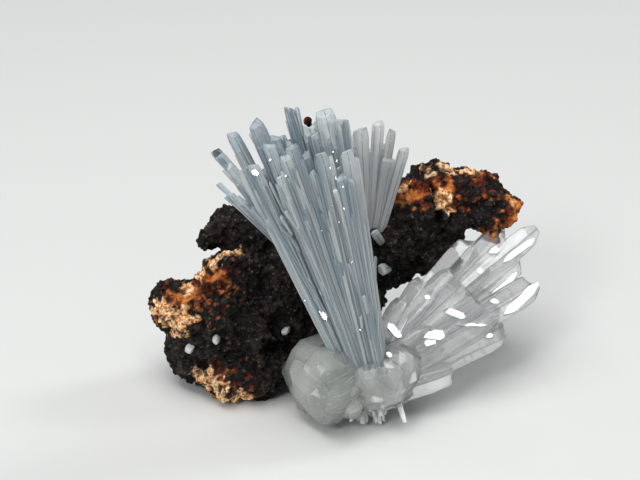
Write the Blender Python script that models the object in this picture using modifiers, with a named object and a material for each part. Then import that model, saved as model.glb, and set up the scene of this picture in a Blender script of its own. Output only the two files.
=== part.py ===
"""Barite specimen: sprays of pale blue barite crystals grown on a dark, rusty iron-oxide rock.

Metres, +Z up. The specimen stands on the flat underside of the rock, which lies on z = 0 with the origin on
it. The crystals face -Y, the rock lies behind them. Lengths below are in millimetres and are scaled by MM.
"""

import math
import random

import bmesh
import bpy
from mathutils import Matrix, Vector

MM = 0.001

# Crystals
CRYSTAL_SIDES = 6
SOCKET_GAP = 0.8  # room cut into the rock round the crystals of the cluster
FINE_GAP = 0.35  # room round the crystals that stand singly and in the back spray
BROAD_SIDE = Vector((0.0, -1.0, 0.5))  # the broad side of a flat blade faces this way

# Front spray: straight blades that spread from a narrow foot, and stand out of the crystals at the base
SPRAY_FOOT_LEFT = Vector((5.4, -6.2, 9.6))
SPRAY_FOOT_RIGHT = Vector((11.5, -6.6, 7.4))
SPRAY_ROOT_DEPTH = 2.5
SPRAY_LEAN_LEFT = 23.5  # degrees from upright
SPRAY_LEAN_RIGHT = 9.0
SPRAY_HEIGHT = 34.5

# Rock
ROCK_VOXEL = 0.75
SOCKET_VOXEL = 0.4
ROCK_SHARE = 0.21
CRACK_PLACE = Vector((18.8, 6.4, 25.6))  # a deep crack across the right lobe
CRACK_SIZE = Vector((0.7, 3.0, 9.0))

# Grain of rock that is held between the tips of the front spray
CHIP_PLACE = Vector((1.1, -0.4, 42.4))
CHIP_RADIUS = 0.75
CHIP_GAP = 0.45


def clear_scene():
    for obj in list(bpy.data.objects):
        bpy.data.objects.remove(obj, do_unlink=True)


def new_collection(name, hidden=False):
    collection = bpy.data.collections.new(name)
    bpy.context.scene.collection.children.link(collection)
    collection.hide_render = hidden
    return collection


def new_object(name, mesh, collection, helper=False):
    obj = bpy.data.objects.new(name, mesh)
    collection.objects.link(obj)
    if helper:
        obj.hide_render = True
        obj.display_type = "WIRE"
    return obj


def material(name, colour, roughness, metallic=0.0):
    made = bpy.data.materials.new(name)
    made.use_nodes = True
    shader = made.node_tree.nodes["Principled BSDF"]
    shader.inputs["Base Color"].default_value = (*colour, 1.0)
    shader.inputs["Roughness"].default_value = roughness
    shader.inputs["Metallic"].default_value = metallic
    return made


class Crystal:
    """One flat-sided prism from root to tip, in mm, that ends in a chisel-shaped ridge."""

    def __init__(self, root, tip, width, thickness, roll=0.0, chisel=1.2, taper=0.6, ridge=0.3, point=0.8):
        self.root = Vector(root)
        self.tip = Vector(tip)
        self.width = width
        self.thickness = thickness
        self.roll = math.radians(roll)
        self.chisel = chisel
        self.taper = taper
        self.ridge = ridge
        self.point = point

    def mesh(self, name, grow=0.0):
        """The crystal's mesh; grow is how much further out every face lies, in mm."""
        axis = (self.tip - self.root).normalized()
        length = (self.tip - self.root).length + 2 * grow
        body = length - self.chisel
        bm = bmesh.new()
        bmesh.ops.create_cone(
            bm,
            cap_ends=True,
            segments=CRYSTAL_SIDES,
            radius1=0.5 * self.taper,
            radius2=0.5,
            depth=body,
            matrix=Matrix.Translation((0, 0, body / 2)),
        )
        top = max(bm.faces, key=lambda face: face.calc_center_median().z)
        end = bmesh.ops.extrude_discrete_faces(bm, faces=[top])["faces"][0]
        for vert in end.verts:
            vert.co = Vector((vert.co.x * self.point, vert.co.y * self.ridge, length))
        bmesh.ops.recalc_face_normals(bm, faces=bm.faces)
        side = (self.width + 2 * grow, self.thickness + 2 * grow)
        for vert in bm.verts:
            vert.co = Vector((vert.co.x * side[0], vert.co.y * side[1], vert.co.z))
        across = BROAD_SIDE.cross(axis).normalized()
        turn = Matrix((across, axis.cross(across), axis)).transposed() @ Matrix.Rotation(self.roll, 3, "Z")
        start = self.root - axis * grow
        for vert in bm.verts:
            vert.co = (turn @ vert.co + start) * MM
        mesh = bpy.data.meshes.new(name)
        bm.to_mesh(mesh)
        bm.free()
        return mesh


def lean_to(root, lean, pitch, length):
    """The tip of a blade that leans left by lean and back by pitch, in degrees, from upright."""
    direction = Vector((-math.tan(math.radians(lean)), math.tan(math.radians(pitch)), 1)).normalized()
    return Vector(root) + direction * length


def front_spray():
    """The tall fan: rows of blades from the front to the back, longest at the back."""
    rng = random.Random(11)
    # The heart of the foot, hidden by the blades
    crystals = [Crystal((9.4, -5.5, 5.2), (8.4, -4.9, 15.6), 5.8, 4.0, 8, chisel=1.5, taper=0.9)]
    # Blades that make the crown: (place along the foot, lean, pitch, length, width, thickness, roll)
    crown = [
        (0.28, 25.2, 5, 38.0, 2.3, 2.0, 10),
        (0.42, 21.3, 6, 38.2, 2.9, 2.2, 35),
        (0.60, 15.9, 8, 38.9, 1.9, 1.5, 0),
        (0.68, 13.8, 8, 35.6, 2.4, 1.8, 20),
        (0.85, 11.4, 8, 38.0, 3.6, 2.8, 5),
        (0.94, 9.4, 8, 37.2, 2.6, 2.4, 0),
        (1.00, 8.4, 9, 33.6, 1.8, 1.8, 15),
    ]
    for along, lean, pitch, length, width, thickness, roll in crown:
        foot = SPRAY_FOOT_LEFT.lerp(SPRAY_FOOT_RIGHT, along)
        tip = lean_to(foot, lean, pitch, length)
        root = foot - (tip - foot).normalized() * SPRAY_ROOT_DEPTH
        crystals.append(Crystal(root, tip, width, thickness, roll, chisel=1.6, taper=0.5))
    # Rows: (depth of the foot behind the front, pitch, share of the spray's height, blades)
    rows = [(-1.8, 0.5, 0.98, 9), (-0.4, 3.5, 0.99, 9), (1.2, 6.0, 0.96, 8), (2.6, 8.5, 0.86, 6)]
    for depth, pitch, share, blades in rows:
        for k in range(blades):
            along = (k + rng.uniform(0.3, 0.7)) / blades
            lean = SPRAY_LEAN_LEFT + (SPRAY_LEAN_RIGHT - SPRAY_LEAN_LEFT) * along + rng.uniform(-1.5, 1.5)
            height = SPRAY_HEIGHT * (0.95 + 0.12 * math.sin(math.pi * along))
            length = height * share * rng.uniform(0.88, 1.02)
            foot = SPRAY_FOOT_LEFT.lerp(SPRAY_FOOT_RIGHT, along) + Vector((0, depth, 0))
            tip = lean_to(foot, lean, pitch + rng.uniform(-1.5, 1.5), length)
            root = foot - (tip - foot).normalized() * SPRAY_ROOT_DEPTH
            width = rng.uniform(2.0, 3.0)
            crystals.append(
                Crystal(root, tip, width, rng.uniform(1.5, 2.1), rng.uniform(-30, 30), 1.4, 0.5)
            )
    return crystals


def side_feathers():
    """Blades that leave the fan's left side at a lower angle than the fan itself."""
    # (root, lean, pitch, length, width, thickness, roll)
    blades = [
        ((4.8, -5.0, 20.4), 39.5, 8, 25.0, 2.2, 1.8, 40),
        ((5.0, -5.6, 20.0), 38.0, 5, 23.4, 2.3, 1.5, 10),
        ((4.4, -6.0, 19.0), 40.5, 2, 21.1, 2.0, 1.4, 0),
        ((5.0, -5.8, 17.0), 37.0, 1, 21.6, 1.9, 1.5, 20),
        ((5.8, -6.2, 14.6), 34.5, 1, 20.4, 1.9, 1.4, -15),
        ((6.0, -6.4, 11.6), 29.5, 0, 16.6, 1.9, 1.5, 10),
        ((6.0, -4.6, 11.4), 32.0, 6, 24.4, 2.0, 1.7, -20),
        ((5.8, -5.4, 14.0), 35.5, 4, 22.8, 2.0, 1.6, 30),
        ((6.4, -7.4, 10.6), 26.5, -1, 13.5, 1.8, 1.3, -10),
    ]
    return [
        Crystal(root, lean_to(root, lean, pitch, length), width, thickness, roll, 1.2, 0.6)
        for root, lean, pitch, length, width, thickness, roll in blades
    ]


def base_crystals():
    """The stout crystals at the foot: a blocky one at the left, and a fan that points down and forward."""
    rng = random.Random(5)
    crystals = [
        Crystal((8.0, -2.8, 7.2), (-0.1, -9.9, 6.9), 12.8, 13.4, 12, chisel=2.2, taper=0.85, ridge=0.76),
        Crystal((9.0, -2.0, 6.8), (4.6, -10.4, 4.6), 7.6, 7.4, 20, chisel=1.8, taper=0.8, ridge=0.6),
        Crystal((5.0, -5.6, 5.8), (14.8, -5.6, 6.6), 9.2, 8.8, 25, chisel=2.0, taper=0.85, ridge=0.6),
        Crystal((9.5, -3.5, 7.8), (9.6, -10.8, 6.3), 10.4, 8.8, 5, chisel=2.2, taper=0.85, ridge=0.6),
        Crystal((10.5, -3.6, 8.0), (15.2, -7.8, 7.3), 8.4, 7.8, 15, chisel=2.0, taper=0.85, ridge=0.6),
    ]
    centre = Vector((9.8, -3.4, 7.4))
    # Rows: (rise of the row, reach, blades, width)
    rows = [(-46, 8.8, 9, 2.0), (-30, 9.2, 9, 2.8), (-12, 9.6, 6, 4.2), (8, 8.6, 5, 4.6)]
    for row_rise, reach, blades, width in rows:
        for k in range(blades):
            heading = math.radians(-162 + 134 * (k + rng.uniform(0.25, 0.75)) / blades)
            rise = math.radians(row_rise + rng.uniform(-5, 5))
            direction = Vector(
                (math.cos(heading) * math.cos(rise), math.sin(heading) * math.cos(rise), math.sin(rise))
            )
            root = centre + Vector((rng.uniform(-1.5, 1.5), 0, 0))
            tip = root + direction * reach * rng.uniform(0.92, 1.06)
            size = width * rng.uniform(0.85, 1.15)
            crystals.append(Crystal(root, tip, size, size * 0.7, rng.uniform(-40, 40), 1.3, 0.7))
    return crystals


def right_sheaf():
    """Long flat blades that run out to the right and rise towards the back."""
    # (root, tip, width, thickness, roll)
    slivers = [
        # along the lower edge
        ((7.8, -8.2, 4.0), (22.4, -3.0, 6.2), 4.6, 2.8, 5),
        ((8.5, -7.5, 4.6), (28.4, 1.8, 10.2), 6.2, 2.6, -4),
        ((8.5, -7.0, 5.4), (33.3, 5.9, 14.7), 5.0, 2.2, 4),
        # upper edge, below the right lobe of the rock
        ((9.5, -6.0, 7.0), (31.6, 8.2, 17.8), 4.6, 2.2, 12),
        ((10.0, -5.0, 8.0), (33.0, 10.2, 20.6), 4.0, 2.0, -10),
        ((10.4, -4.0, 8.8), (29.0, 9.8, 21.0), 4.6, 2.2, 10),
        ((10.6, -3.4, 9.2), (24.8, 8.4, 20.6), 4.8, 2.4, -8),
        # behind the others
        ((9.2, -4.6, 5.0), (28.6, 6.0, 12.8), 6.0, 2.4, 20),
        ((10.0, -3.0, 6.6), (26.4, 9.2, 16.4), 5.2, 2.6, -25),
    ]
    blocks = [
        ((10.2, -4.8, 8.8), (22.0, 3.0, 16.8), 6.8, 4.2, 14),
        ((10.8, -4.4, 9.4), (17.4, 1.2, 17.2), 5.0, 3.6, -18),
        ((10.6, -5.0, 9.0), (14.4, -0.8, 15.8), 4.6, 3.0, 10),
        ((9.6, -6.6, 6.6), (25.6, 1.4, 13.0), 7.4, 3.0, 6),
        ((9.8, -6.8, 7.4), (18.6, -2.8, 11.4), 6.4, 3.4, 24),
    ]
    crystals = [
        Crystal(root, tip, width, thickness, roll, chisel=4.2, taper=0.85, ridge=0.3, point=0.4)
        for root, tip, width, thickness, roll in slivers
    ]
    for root, tip, width, thickness, roll in blocks:
        crystals.append(Crystal(root, tip, width, thickness, roll, chisel=1.8, taper=0.85, ridge=0.55))
    # A slim rod that lies across the blades
    crystals.append(Crystal((21.2, 2.0, 17.0), (27.0, 0.6, 10.8), 1.2, 1.1, 0, chisel=0.7, taper=0.8))
    return crystals


def back_spray():
    """The smaller bundle that stands on the rock behind the front spray."""
    # (tip, width, thickness, roll)
    tips = [
        ((8.0, 8.4, 37.6), 2.6, 1.8, 10),
        ((10.5, 8.2, 38.6), 2.0, 1.6, 30),
        ((12.4, 7.6, 38.0), 1.8, 1.4, 60),
        ((14.1, 6.8, 35.4), 1.8, 1.3, 20),
        ((11.4, 9.8, 34.4), 2.6, 1.8, 0),
        ((9.0, 10.6, 33.4), 2.2, 1.8, 40),
        ((13.2, 9.8, 32.0), 2.2, 1.6, -20),
        ((12.0, 7.0, 33.6), 2.4, 1.6, 15),
    ]
    root = Vector((9.4, 6.4, 17.6))
    return [
        Crystal(root + Vector((0.12 * (tip[0] - root.x), 0.1 * (tip[1] - root.y), 0)), tip, *size, 1.4, 0.6)
        for tip, *size in tips
    ]


def small_crystals():
    """Single crystals that stand on the rock: two beside the back spray, three on the left lobe."""
    # (root, tip, width, thickness, roll)
    blades = [
        ((11.2, 5.6, 21.0), (9.9, 1.8, 24.9), 1.7, 1.1, 0),
        ((12.2, 4.8, 17.4), (10.9, 0.8, 19.4), 2.0, 1.5, 30),
        ((-14.4, 1.2, 8.2), (-15.4, -3.2, 8.8), 1.5, 1.1, 20),
        ((-11.0, 0.6, 10.0), (-11.6, -3.9, 10.8), 1.4, 1.0, -30),
        ((-1.6, 3.4, 9.6), (-2.2, -1.0, 10.4), 1.5, 1.1, 45),
    ]
    return [
        Crystal(root, tip, width, thickness, roll, chisel=0.7, taper=0.8)
        for root, tip, width, thickness, roll in blades
    ]


def chip_mesh(name, radius):
    """A small angular grain of rock."""
    bm = bmesh.new()
    size = Vector((radius, 0.7 * radius, 1.1 * radius)) * MM
    place = Matrix.Translation(CHIP_PLACE * MM) @ Matrix.Diagonal((*size, 1))
    bmesh.ops.create_icosphere(bm, subdivisions=1, radius=1.0, matrix=place @ Matrix.Rotation(0.6, 4, "X"))
    mesh = bpy.data.meshes.new(name)
    bm.to_mesh(mesh)
    bm.free()
    return mesh


def rock_lumps():
    """The rock's lumps: (centre, radii)."""
    return [
        # left lobe
        ((-11.0, 3.2, 9.0), (8.2, 5.8, 8.8)),
        ((-16.0, 3.6, 11.8), (4.8, 4.2, 4.6)),
        ((-8.0, 1.2, 3.4), (7.2, 5.8, 4.8)),
        ((-14.2, 3.0, 5.0), (4.6, 4.6, 4.6)),
        ((-9.0, 5.0, 15.6), (4.8, 4.2, 4.4)),
        # flake that stands up from the left lobe
        ((-10.3, 8.4, 22.6), (2.4, 1.9, 3.2)),
        ((-12.0, 8.0, 20.4), (1.9, 1.5, 1.6)),
        ((-6.0, 8.4, 20.6), (5.0, 3.0, 4.2)),
        # middle, behind the front spray
        ((-2.0, 6.8, 10.0), (8.0, 6.0, 10.5)),
        ((4.0, 7.4, 13.0), (8.0, 5.2, 9.0)),
        ((1.0, 5.0, 2.6), (10.5, 6.8, 4.6)),
        ((7.0, 7.6, 17.6), (5.6, 4.6, 4.6)),
        # right lobe
        ((12.6, 8.4, 18.4), (5.0, 4.6, 6.0)),
        ((16.4, 10.4, 21.4), (7.4, 5.2, 6.6)),
        ((22.0, 12.6, 23.8), (6.8, 4.8, 4.6)),
        ((27.0, 12.2, 22.4), (3.8, 3.8, 3.0)),
        ((17.6, 8.2, 17.6), (4.2, 3.4, 3.2)),
        ((19.0, 13.0, 26.4), (4.4, 3.4, 2.2)),
        # knob that hangs below the right lobe
        ((26.2, 9.6, 20.0), (1.6, 2.2, 1.6)),
    ]


def rock_lumps_mesh():
    """The rock's lumps as overlapping balls, before they are joined."""
    bm = bmesh.new()
    for centre, radii in rock_lumps():
        place = Matrix.Translation(Vector(centre) * MM) @ Matrix.Diagonal((*(Vector(radii) * MM), 1))
        bmesh.ops.create_icosphere(bm, subdivisions=3, radius=1.0, matrix=place)
    mesh = bpy.data.meshes.new("rock_lumps")
    bm.to_mesh(mesh)
    bm.free()
    return mesh


def box_mesh(name, centre, size, turn=None):
    bm = bmesh.new()
    bmesh.ops.create_cube(bm, size=1.0)
    for vert in bm.verts:
        co = Vector([vert.co[i] * size[i] for i in range(3)])
        if turn is not None:
            co = turn @ co
        vert.co = (co + Vector(centre)) * MM
    mesh = bpy.data.meshes.new(name)
    bm.to_mesh(mesh)
    bm.free()
    return mesh


def add_voxel_remesh(obj, size):
    modifier = obj.modifiers.new("Voxels", "REMESH")
    modifier.mode = "VOXEL"
    modifier.voxel_size = size * MM


def add_roughness(obj, name, grain, height):
    texture = bpy.data.textures.new(name, "CLOUDS")
    texture.noise_scale = grain * MM
    texture.noise_depth = 2
    modifier = obj.modifiers.new(name, "DISPLACE")
    modifier.texture = texture
    modifier.strength = height * MM
    modifier.mid_level = 0.5


def add_boolean(obj, operation, operand):
    modifier = obj.modifiers.new(operation.title(), "BOOLEAN")
    modifier.operation = operation
    modifier.solver = "EXACT"
    if isinstance(operand, bpy.types.Collection):
        modifier.operand_type = "COLLECTION"
        modifier.collection = operand
    else:
        modifier.object = operand


def fuse(name, crystals, collection, helper=False):
    """One solid made of crystals that have grown into each other."""
    others = new_collection(name + "_crystals", hidden=True)
    for k, crystal in enumerate(crystals[1:], start=2):
        new_object(f"{name}_crystal_{k:02d}", crystal.mesh(name), others, helper=True)
    obj = new_object(name, crystals[0].mesh(name), collection, helper)
    add_boolean(obj, "UNION", others)
    return obj


def socket_mesh(crystals):
    """The crystals, each a little larger all round, as one mesh of overlapping solids."""
    bm = bmesh.new()
    for crystal in crystals:
        bm.from_mesh(crystal.mesh("socket", grow=SOCKET_GAP))
    mesh = bpy.data.meshes.new("sockets")
    bm.to_mesh(mesh)
    bm.free()
    return mesh


def rock(cluster, standing, collection, look):
    """The rock: a hollow for the cluster, a socket for each standing crystal, a crack, a flat underside."""
    cuts = new_collection("rock_cuts", hidden=True)
    hollows = new_collection("sockets", hidden=True)
    sockets = new_object("socket_cutter", socket_mesh(cluster), hollows, helper=True)
    add_voxel_remesh(sockets, SOCKET_VOXEL)
    for k, crystal in enumerate(standing):
        new_object(f"socket_cutter_{k:02d}", crystal.mesh("socket", grow=FINE_GAP), cuts, helper=True)
    new_object("underside_cutter", box_mesh("underside", (0, 0, -15), (90, 90, 30)), cuts, helper=True)
    lean = Matrix.Rotation(math.radians(-14), 3, "Y") @ Matrix.Rotation(math.radians(-28), 3, "X")
    new_object("crack_cutter", box_mesh("crack", CRACK_PLACE, CRACK_SIZE, lean), cuts, helper=True)
    obj = new_object("rock", rock_lumps_mesh(), collection)
    obj.data.materials.append(look)
    add_voxel_remesh(obj, ROCK_VOXEL)
    add_roughness(obj, "Lumps", 4.5, 3.2)
    add_roughness(obj, "Grains", 1.5, 1.5)
    add_boolean(obj, "DIFFERENCE", sockets)
    add_voxel_remesh(obj, ROCK_VOXEL)
    decimate = obj.modifiers.new("Facets", "DECIMATE")
    decimate.ratio = ROCK_SHARE
    add_boolean(obj, "DIFFERENCE", cuts)
    return obj


def main():
    clear_scene()
    specimen = new_collection("barite_specimen")
    looks = {
        name: material(name, colour, roughness)
        for name, colour, roughness in [
            ("barite_clear", (0.66, 0.72, 0.72), 0.15),
            ("barite_blue", (0.42, 0.52, 0.60), 0.2),
            ("barite_small", (0.62, 0.68, 0.70), 0.25),
            ("iron_oxide", (0.035, 0.028, 0.024), 0.85),
            ("iron_oxide_red", (0.12, 0.035, 0.02), 0.6),
        ]
    }
    spray, feathers, base, sheaf = front_spray(), side_feathers(), base_crystals(), right_sheaf()
    behind = back_spray()
    single = small_crystals()
    barite = fuse("barite_cluster", spray, specimen)
    barite.data.materials.append(looks["barite_clear"])
    bunches = new_collection("bunches", hidden=True)
    for name, crystals in [("feathers", feathers), ("base", base), ("sheaf", sheaf)]:
        add_boolean(barite, "UNION", fuse(name, crystals, bunches, helper=True))
    upright = fuse("back_spray", behind, specimen)
    upright.data.materials.append(looks["barite_blue"])
    for k, crystal in enumerate(single, start=1):
        obj = new_object(f"small_crystal_{k}", crystal.mesh("small_crystal"), specimen)
        obj.data.materials.append(looks["barite_small"])
    chip = new_object("iron_oxide_chip", chip_mesh("chip", CHIP_RADIUS), specimen)
    chip.data.materials.append(looks["iron_oxide_red"])
    chip_seat = new_collection("chip_seat", hidden=True)
    seat = new_object("chip_cutter", chip_mesh("chip_seat", CHIP_RADIUS + CHIP_GAP), chip_seat, helper=True)
    add_boolean(barite, "DIFFERENCE", seat)
    rock(spray + feathers + base + sheaf, behind + single, specimen, looks["iron_oxide"])


main()
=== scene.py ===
"""Barite specimen: sprays of pale blue barite crystals on a dark, rusty iron-oxide rock.

The crystals and the rock's lumps repeat the part's own named values and are then given their fine surface.
Lengths below are in millimetres and are scaled by MM.
"""

import math
import random

import bmesh
import bpy
from mathutils import Matrix, Vector, noise
from mathutils.bvhtree import BVHTree


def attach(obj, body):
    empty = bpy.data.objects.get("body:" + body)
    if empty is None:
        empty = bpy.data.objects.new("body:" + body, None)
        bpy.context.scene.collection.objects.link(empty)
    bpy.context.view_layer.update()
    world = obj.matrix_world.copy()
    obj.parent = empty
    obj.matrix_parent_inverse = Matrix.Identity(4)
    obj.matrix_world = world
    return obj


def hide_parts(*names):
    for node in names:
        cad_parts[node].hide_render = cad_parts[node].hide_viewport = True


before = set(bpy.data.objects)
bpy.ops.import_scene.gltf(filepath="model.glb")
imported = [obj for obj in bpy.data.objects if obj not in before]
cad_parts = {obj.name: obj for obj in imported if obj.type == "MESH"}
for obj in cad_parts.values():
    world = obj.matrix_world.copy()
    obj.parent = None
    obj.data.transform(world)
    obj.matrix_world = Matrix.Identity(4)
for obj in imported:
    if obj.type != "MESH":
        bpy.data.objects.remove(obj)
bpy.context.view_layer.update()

MM = 0.001

# Camera: the photograph looks down on the specimen
VIEW_TARGET = Vector((2.67, 0.0, 24.65))
VIEW_DISTANCE = 237.0
VIEW_ELEVATION = 30.0
LENS = 100.0
SENSOR_WIDTH = 36.0
CLIP_START = 0.01  # metres

# Bundles: (thin blades, their share of the crystal's width, the main blade's share of it)
CROWN_BUNDLE = (12, 0.24, 0.84)
ROW_BUNDLE = (18, 0.24, 0.66)
FEATHER_BUNDLE = (14, 0.28, 0.62)
HOLDER_BUNDLE = (8, 0.3, 0.84)
CLEAR_BUNDLE = (1, 0.4, 0.97)
POINT_BUNDLE = (1, 0.4, 0.95)
BACK_BUNDLE = (1, 0.4, 0.95)
SINGLE_BUNDLE = (2, 0.6, 0.84)

# Seeds of the random draws
FRONT_SEED = 21
BASE_SEED = 22
SHEAF_SEED = 23
BACK_SEED = 24
POINTS_SEED = 26
STEPS_SEED = 27
INNER_SEED = 29
SINGLE_SEED = 30
NEEDLES_SEED = 31

# Crystals
BROAD_SIDE = Vector((0.0, -1.0, 0.5))  # the broad side of a flat blade faces this way
BARITE_IOR = 1.64
# The crystals' edges are painted darker in this colour, as painted shade.
PAINTED_EDGE_SHADE = 0.45  # how much darker the crystals' edges look
PAINTED_EDGE_COLOUR = (0.07, 0.09, 0.10)
BLADE_SIDES = 6
EDGE_BEVEL = 0.08
FINE_BEVEL = 0.035
# One blade's tip is painted darker still than the edges, as painted shade.
PAINTED_TIP_SHADE = 2.0  # how much darker than an edge the one dark tip is

# Scales of the crystals' noise: across, through and along a blade, per mm
STREAK_SCALE = (5.5, 5.5, 0.10)
BAND_SCALE = (1.9, 1.9, 0.09)
TINT_SCALE = (0.35, 0.0, 0.012)
# Scales of the noise that is alike in all directions, per metre
CLOUD_SCALE = 260.0
PIT_SCALE = 1500.0

# Front spray: straight blades that spread from a narrow foot, and stand out of the crystals at the base
SPRAY_FOOT_LEFT = Vector((5.4, -6.2, 9.6))
SPRAY_FOOT_RIGHT = Vector((11.5, -6.6, 7.4))
SPRAY_ROOT_DEPTH = 2.5
SPRAY_LEAN_LEFT = 23.5  # degrees from upright
SPRAY_LEAN_RIGHT = 9.0
SPRAY_HEIGHT = 34.5
ROW_WIDENING = 1.25
SHORT_BLADES = 260  # blades that stand out from the sides of the others
SHORT_BLADE_BEVEL = 0.03
# The feather whose tip gets painted shade, and how far back from its tip the shade reaches.
SHADED_TIP_FEATHER = 0
SHADED_TIP_LENGTH = 2.4
CROWN_CRYSTALS = 8  # the heart of the spray and the blades that make its crown come first

# The left side of the spray is slightly hollow between these heights
HOLLOW_FROM = 8.0
HOLLOW_TO = 34.0
HOLLOW_DEPTH = 2.2
HOLLOW_FADE = 5.0  # it fades out over this width, left of the spray's middle line
MIDDLE_INSET = 3.0  # the middle line's distance from the right foot
MIDDLE_SLOPE = 0.27  # how far left it runs for each mm of height

# Base
BASE_BLOCKS = 5  # the stout crystals come first, and the fan of points after them
POINT_REACH = 0.74
NEEDLES = 34  # fine needles under the base
NEEDLE_ROOT = Vector((8.8, -3.4, 7.4))
NEEDLE_FLOOR = 0.35  # the lowest that a needle's tip lies
BLOCK_TIP = (3.8, 0.5, 0.6)  # chisel, ridge and point of the blocky crystal at the left
BLOCK_TURN = 0.3  # radians
INNER_FORMS = [(0.78, 0.93, 27), (0.45, 0.86, 8)]  # share of the width, share of the length, turn in degrees

# Bright flat steps on the cluster: (first end, second end, width in mm). The ends are places in the
# picture, counted from its upper left corner, and were chosen one by one.
PICTURE_WIDTH = 640
PICTURE_HEIGHT = 480
BRIGHT_STEPS = [
    ((420, 333), (445, 335), 1.5),
    ((424, 343), (437, 338), 1.2),
    ((388, 323), (401, 338), 1.0),
    ((504, 315), (539, 282), 1.4),
    ((491, 296), (519, 272), 0.8),
    ((503, 262), (535, 238), 0.9),
    ((443, 309), (466, 317), 1.0),
    ((455, 324), (488, 325), 0.4),
    ((477, 271), (483, 271), 0.8),
    ((424, 297), (430, 297), 0.6),
    ((486, 337), (493, 334), 0.6),
    ((490, 300), (499, 302), 0.6),
    ((487, 251), (500, 249), 1.0),
    ((251, 171), (259, 174), 0.8),
    ((320, 309), (327, 320), 0.7),
    ((387, 352), (392, 357), 0.6),
]
# Small sparks on the spray, at places in the picture that were chosen one by one too
SPARKS = [(333, 152), (337, 161), (336, 178), (343, 187), (344, 209), (339, 222), (330, 168), (333, 205)]
SPARKS += [(286, 176), (270, 160), (262, 216), (274, 262), (305, 300), (352, 262), (360, 330), (322, 230)]
SPARK_LENGTH = (2.4, 3.8)  # shortest and longest, in pixels of the picture
SPARK_WIDTH = (0.14, 0.25)  # narrowest and widest
SPARK_LEAN = 0.5  # radians from upright, in the picture
FACET_DEPTH = 0.7
FACET_LIFT = 0.25  # towards the camera
GLINT_LAMP = Vector((120, -300, 600))  # the steps mirror this lamp

# Rock
ROCK_VOXEL = 0.3
ROCK_SWELLS = (("Lumps", 4.5, 3.2), ("Grains", 1.5, 1.5))  # name, size and height
ROCK_INSET = 0.12
COARSE_SIZE, COARSE_HEIGHT = 2.2, 0.35
KNOB_SIZE, KNOB_HEIGHT = 0.95, 0.74
SPECK_SIZE, SPECK_HEIGHT = 0.5, 0.36
GRIT_SIZE, GRIT_HEIGHT = 0.3, 0.09
PATCH_EDGE_SIZE = 1.1
CRUST_HEIGHT = 0.12
DUST_SCALE = 320.0  # per metre
# The fine noise gives the rock's bumps and roughness, and painted highlight specks.
GRIT_AND_GLINT_SCALE = 2200.0
CRACK_PLACE = Vector((18.8, 6.4, 25.6))  # a deep crack across the right lobe
CRACK_SIZE = Vector((0.9, 3.4, 9.0))
CRACK_DEPTH = 1.6
CRACK_LEAN = -14  # degrees about Y
CRACK_PITCH = -28  # degrees about X

# Grain of rock that is held between the tips of the front spray
CHIP_PLACE = Vector((1.1, -0.4, 42.4))
CHIP_RADIUS = 0.75
# Slim blades on either side of it: (place along the foot, lean, pitch, length, width, thickness)
CHIP_HOLDERS = [
    (0.66, 14.5, 8.6, 36.8, 1.4, 1.2),
    (0.71, 13.2, 9.0, 36.2, 1.6, 1.2),
    (0.74, 12.4, 8.0, 36.4, 1.3, 1.2),
]

# Studio, in metres and watts
FLOOR_HALF = 1.5
FLOOR_COLOUR = (0.71, 0.715, 0.70)
SKY_COLOUR = (0.93, 0.96, 1.0)
SKY_STRENGTH = 0.245
# (name, place, aim, size, power)
LAMPS = [
    ("top_light", (-0.06, -0.06, 0.45), (0, 0, 0.01), 0.30, 1.34),
    ("front_light", (-0.30, -0.50, 0.50), (0, 0, 0.02), 0.20, 1.6),
    ("right_light", (0.45, 0.20, 0.40), (0.02, 0, 0.02), 0.14, 0.9),
    ("glint_left", (-0.30, 0.10, 0.55), (0, 0, 0.03), 0.05, 0.14),
    ("glint_front", GLINT_LAMP * MM, (0, 0, 0.03), 0.07, 0.28),
]


class Crystal:
    """One flat-sided prism from root to tip, in mm, that ends in a chisel-shaped ridge."""

    def __init__(self, root, tip, width, thickness, roll=0.0, chisel=1.2, taper=0.6, ridge=0.3, point=0.8):
        self.root = Vector(root)
        self.tip = Vector(tip)
        self.width = width
        self.thickness = thickness
        self.roll = math.radians(roll)
        self.chisel = chisel
        self.taper = taper
        self.ridge = ridge
        self.point = point

    def turn(self):
        """The rotation from the crystal's own axes, Z along it and Y through it, to the specimen's."""
        axis = (self.tip - self.root).normalized()
        across = BROAD_SIDE.cross(axis).normalized()
        return Matrix((across, axis.cross(across), axis)).transposed() @ Matrix.Rotation(self.roll, 3, "Z")


def lean_to(root, lean, pitch, length):
    """The tip of a blade that leans left by lean and back by pitch, in degrees, from upright."""
    direction = Vector((-math.tan(math.radians(lean)), math.tan(math.radians(pitch)), 1)).normalized()
    return Vector(root) + direction * length


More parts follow.
